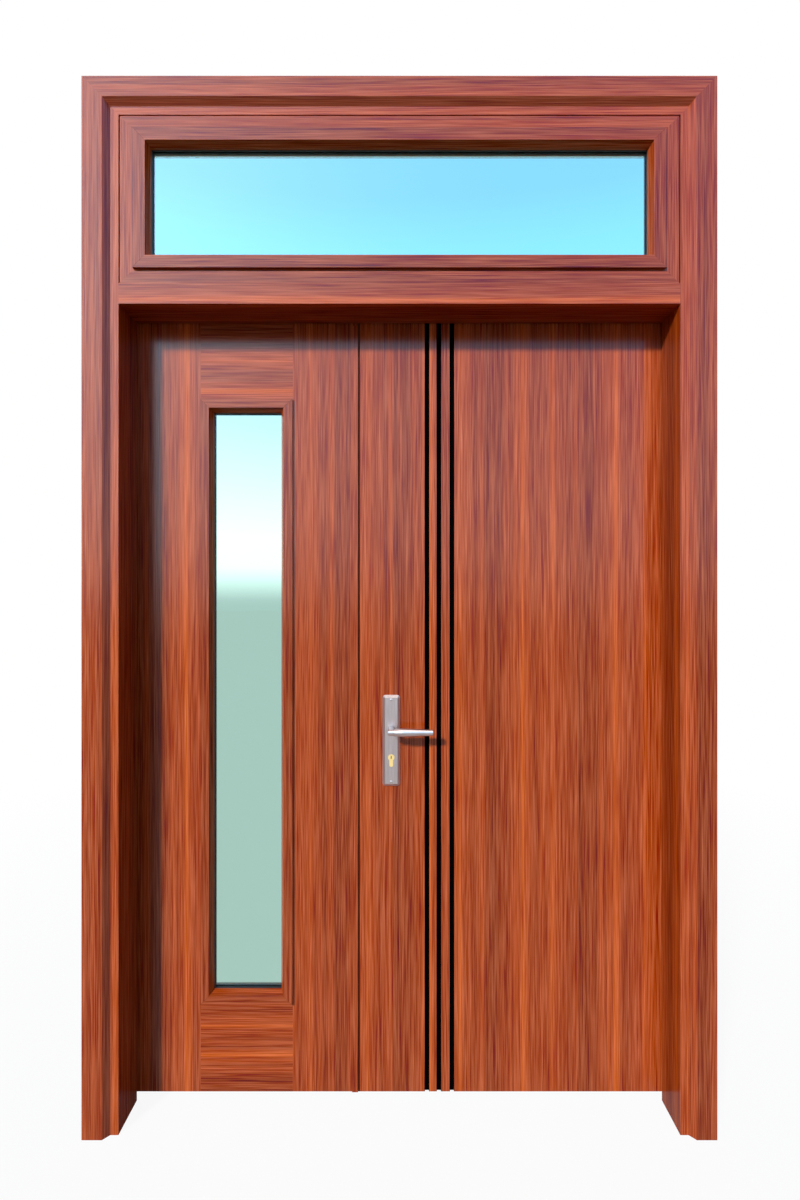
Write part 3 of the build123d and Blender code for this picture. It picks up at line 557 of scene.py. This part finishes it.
class DOOR_OT_finish_hardware(bpy.types.Operator):
    """Finishes the lock, lever and hinges in satin stainless steel, and the cylinder in brass"""

    bl_idname = "door.finish_hardware"
    bl_label = "Finish hardware"

    def execute(self, context):
        upright = satin_steel("satin_steel_brushed_upright", (BRUSH_WIDTH, BRUSH_WIDTH, BRUSH_LENGTH), 0.8)
        for name in UPRIGHT_STEEL:
            dress(name, upright)
        level = satin_steel("satin_steel_brushed_level", (BRUSH_LENGTH, BRUSH_WIDTH, BRUSH_WIDTH), 1.0)
        for name in LEVEL_STEEL:
            dress(name, level)
        # Lacquered brass: a bright warm yellow, with a darker brown painted in the keyway of the plug as its
        # shade
        brass, tree = new_material("lacquered_brass")
        low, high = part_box("lock_cylinder")
        plug_radius = (high.x - low.x) / 2
        place = add(tree, "ShaderNodeTexCoord").outputs["Object"]
        x, _, z = add(tree, "ShaderNodeSeparateXYZ", {"Vector": place}).outputs
        beside = add(tree, "ShaderNodeMath", {0: x, 1: low.x + plug_radius, 2: KEYWAY_HALF_WIDTH},
                     operation="COMPARE")
        within = add(tree, "ShaderNodeMath", {0: z, 1: high.z - plug_radius, 2: KEYWAY_HALF_HEIGHT},
                     operation="COMPARE")
        painted_keyway_shade = add(tree, "ShaderNodeMath", {0: beside.outputs[0], 1: within.outputs[0]},
                     operation="MULTIPLY")
        # The second colour is painted shade in the key slot
        tone = ramp_of(tree, painted_keyway_shade.outputs[0], ((0.0, linear("FFDF96")), (1.0, linear("8A5414"))))
        shader = add(tree, "ShaderNodeBsdfPrincipled", {
            "Base Color": tone, "Metallic": 0.1, "Roughness": 0.3})
        add(tree, "ShaderNodeOutputMaterial", {"Surface": shader.outputs[0]})
        dress("lock_cylinder", brass)
        return {"FINISHED"}


class DOOR_OT_fit_screws(bpy.types.Operator):
    """Sets raised cross-head screws in lock plates, faceplate, strike, flush bolts and hinges"""

    bl_idname = "door.fit_screws"
    bl_label = "Fit screws"

    def execute(self, context):
        sizes = context.scene.door_screws
        steel = satin_steel("satin_steel_screw_heads", (BRUSH_WIDTH, BRUSH_WIDTH, BRUSH_WIDTH), 1.0)
        tree = screw_tree()
        for body, spots in screw_spots(sizes).items():
            mesh = bpy.data.meshes.new(f"{body}_screws")
            mesh.from_pydata([place for place, _, _ in spots], [], [])
            mesh.attributes.new("facing", "FLOAT_VECTOR", "POINT")
            mesh.attributes.new("rise", "FLOAT", "POINT")
            for index, (_, way, height) in enumerate(spots):
                mesh.attributes["facing"].data[index].vector = way
                mesh.attributes["rise"].data[index].value = height
            screws = bpy.data.objects.new(f"{body}_screws", mesh)
            context.scene.collection.objects.link(screws)
            modifier = screws.modifiers.new("screws", "NODES")
            modifier.node_group = tree
            values = {"Head radius": sizes.head_radius, "Slot width": sizes.slot_width, "Material": steel}
            for item in tree.interface.items_tree:
                if item.in_out == "INPUT" and item.name in values:
                    modifier[item.identifier] = values[item.name]
            realized = screws.evaluated_get(context.evaluated_depsgraph_get())
            plain = bpy.data.meshes.new_from_object(realized)
            screws.modifiers.remove(modifier)
            screws.data = plain
            if not plain.polygons:
                raise RuntimeError(f"no screws were made on {body}")
            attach(screws, body)
        return {"FINISHED"}


class DOOR_OT_set_stage(bpy.types.Operator):
    """Sets the floor, the sky, the key light and the camera"""

    bl_idname = "door.set_stage"
    bl_label = "Set stage"

    def execute(self, context):
        scene = context.scene
        stage = scene.door_stage
        middle_x = (CAD_BOX[0][0] + CAD_BOX[1][0]) / 2
        bpy.ops.mesh.primitive_plane_add(size=stage.floor_size, location=(middle_x, 0, 0))
        floor = context.active_object
        floor.name = "studio_floor"
        floor.data.materials.append(floor_paint(stage))
        floor.visible_diffuse = False

        sun = bpy.data.objects.new("key_light", bpy.data.lights.new("key_light", "SUN"))
        sun.data.energy = stage.sun_strength
        sun.data.angle = stage.sun_angle
        sun.rotation_euler = Vector(stage.sun_travel).to_track_quat("-Z", "Y").to_euler()
        sun.location = (middle_x, -3, 4)
        sun.visible_glossy = False
        scene.collection.objects.link(sun)

        camera = bpy.data.objects.new("camera", bpy.data.cameras.new("camera"))
        camera.data.lens = stage.lens
        camera.data.sensor_width = SENSOR_WIDTH
        camera.data.shift_x = stage.shift_x
        camera.data.shift_y = stage.shift_y
        camera.location = (middle_x, -stage.distance, stage.eye_height)
        camera.rotation_euler = Vector((0, 1, 0)).to_track_quat("-Z", "Z").to_euler()
        scene.collection.objects.link(camera)
        scene.camera = camera
        scene.world = sky_world(stage)
        scene.view_settings.view_transform = "Standard"
        return {"FINISHED"}


def floor_paint(stage):
    """Pale matt floor, near white with the object's shadow for the camera and grey through glass."""
    material, tree = new_material("pale_matt_floor")
    ray = add(tree, "ShaderNodeLightPath")
    matt = add(tree, "ShaderNodeBsdfDiffuse", {"Color": linear("E2E2E2")})
    white = add(tree, "ShaderNodeEmission", {"Color": WHITE, "Strength": 1.0})
    # The floor turns white with distance, so no horizon shows
    place = add(tree, "ShaderNodeTexCoord").outputs["Object"]
    away = add(tree, "ShaderNodeVectorMath", {0: place}, operation="LENGTH").outputs["Value"]
    whiter = add(tree, "ShaderNodeMapRange", {"Value": away, "From Min": FLOOR_NEAR,
                 "From Max": FLOOR_FAR, "To Min": stage.floor_white, "To Max": 1.0}).outputs["Result"]
    share = add(tree, "ShaderNodeMath", {0: ray.outputs["Is Camera Ray"], 1: whiter}, operation="MULTIPLY")
    seen = add(tree, "ShaderNodeMixShader", {0: share.outputs[0], 1: matt.outputs[0], 2: white.outputs[0]})
    behind = add(tree, "ShaderNodeEmission", {"Color": FLOOR_BEHIND_GLASS, "Strength": 1.0})
    surface = add(tree, "ShaderNodeMixShader", {0: ray.outputs["Is Transmission Ray"], 1: seen.outputs[0],
                  2: behind.outputs[0]})
    add(tree, "ShaderNodeOutputMaterial", {"Surface": surface.outputs[0]})
    return material


def sky_world(stage):
    """A white backdrop for the camera; glass and gloss show a sky, white low down and blue high up.

    Gloss also shows a softbox overhead and the glow around the key light.
    """
    world = bpy.data.worlds.new("sky")
    world.use_nodes = True
    tree = world.node_tree
    tree.nodes.clear()
    direction = add(tree, "ShaderNodeTexCoord").outputs["Generated"]
    _, depth, height = add(tree, "ShaderNodeSeparateXYZ", {"Vector": direction}).outputs
    sky = ramp_of(tree, height, SKY)
    towards = -Vector(stage.sun_travel).normalized()
    nearness = add(tree, "ShaderNodeVectorMath", {0: direction, 1: towards}, operation="DOT_PRODUCT")
    ahead = add(tree, "ShaderNodeMath", {0: nearness.outputs["Value"], 1: 0.0}, operation="MAXIMUM")
    glow = add(tree, "ShaderNodeMath", {0: ahead.outputs[0], 1: GLOW_POWER}, operation="POWER")
    ray = add(tree, "ShaderNodeLightPath").outputs
    deeper = add(tree, "ShaderNodeVectorMath", {0: sky, 1: GLOSS_TINT}, operation="MULTIPLY")
    overhead = add(tree, "ShaderNodeMapRange", {"Value": height, "From Min": SOFTBOX_START,
                   "From Max": SOFTBOX_END})
    capped = add(tree, "ShaderNodeMix", {"Factor": overhead.outputs["Result"], "A": deeper.outputs[0],
                 "B": SOFTBOX}, data_type="RGBA")
    mirrored = add(tree, "ShaderNodeVectorMath", {0: glow.outputs[0], 1: GLOW,
                   2: capped.outputs["Result"]}, operation="MULTIPLY_ADD")
    colour = add(tree, "ShaderNodeMix", {"Factor": ray["Is Transmission Ray"], "A": mirrored.outputs[0],
                 "B": sky}, data_type="RGBA")
    shown = add(tree, "ShaderNodeBackground", {"Color": colour.outputs["Result"], "Strength": SKY_STRENGTH})
    # The fill comes from the front and from behind, and little of it gets into the reveals
    squared = add(tree, "ShaderNodeMath", {0: depth, 1: depth}, operation="MULTIPLY").outputs[0]
    strength = add(tree, "ShaderNodeMath", {0: squared, 1: 2 * stage.fill_strength}, operation="MULTIPLY")
    fill = add(tree, "ShaderNodeBackground", {"Color": WHITE, "Strength": strength.outputs[0]})
    white = add(tree, "ShaderNodeBackground", {"Color": WHITE, "Strength": 1.0})
    lit = add(tree, "ShaderNodeMixShader", {
        0: ray["Is Diffuse Ray"], 1: shown.outputs[0], 2: fill.outputs[0]})
    seen = add(tree, "ShaderNodeMixShader", {
        0: ray["Is Camera Ray"], 1: lit.outputs[0], 2: white.outputs[0]})
    add(tree, "ShaderNodeOutputWorld", {"Surface": seen.outputs[0]})
    return world


class DOOR_PT_panel(bpy.types.Panel):
    """Lists the door's steps in the sidebar"""

    bl_idname = "DOOR_PT_panel"
    bl_label = "Steel Door"
    bl_space_type = "VIEW_3D"
    bl_region_type = "UI"
    bl_category = "Steel Door"

    def draw(self, context):
        for operator in OPERATORS:
            self.layout.operator(operator.bl_idname)


OPERATORS = (DOOR_OT_print_frame, DOOR_OT_print_leaves, DOOR_OT_print_beads, DOOR_OT_glaze,
             DOOR_OT_finish_hardware, DOOR_OT_fit_screws, DOOR_OT_set_stage)
CLASSES = (DoorPrint, DoorScrews, DoorStage, *OPERATORS, DOOR_PT_panel)


def register():
    for cls in CLASSES:
        bpy.utils.register_class(cls)
    bpy.types.Scene.door_print = PointerProperty(type=DoorPrint)
    bpy.types.Scene.door_screws = PointerProperty(type=DoorScrews)
    bpy.types.Scene.door_stage = PointerProperty(type=DoorStage)


def unregister():
    del bpy.types.Scene.door_stage
    del bpy.types.Scene.door_screws
    del bpy.types.Scene.door_print
    for cls in reversed(CLASSES):
        bpy.utils.unregister_class(cls)


def main():
    register()
    bpy.ops.door.print_frame()
    bpy.ops.door.print_leaves()
    bpy.ops.door.print_beads()
    bpy.ops.door.glaze()
    bpy.ops.door.finish_hardware()
    bpy.ops.door.fit_screws()
    bpy.ops.door.set_stage()


if __name__ == "__main__":
    main()
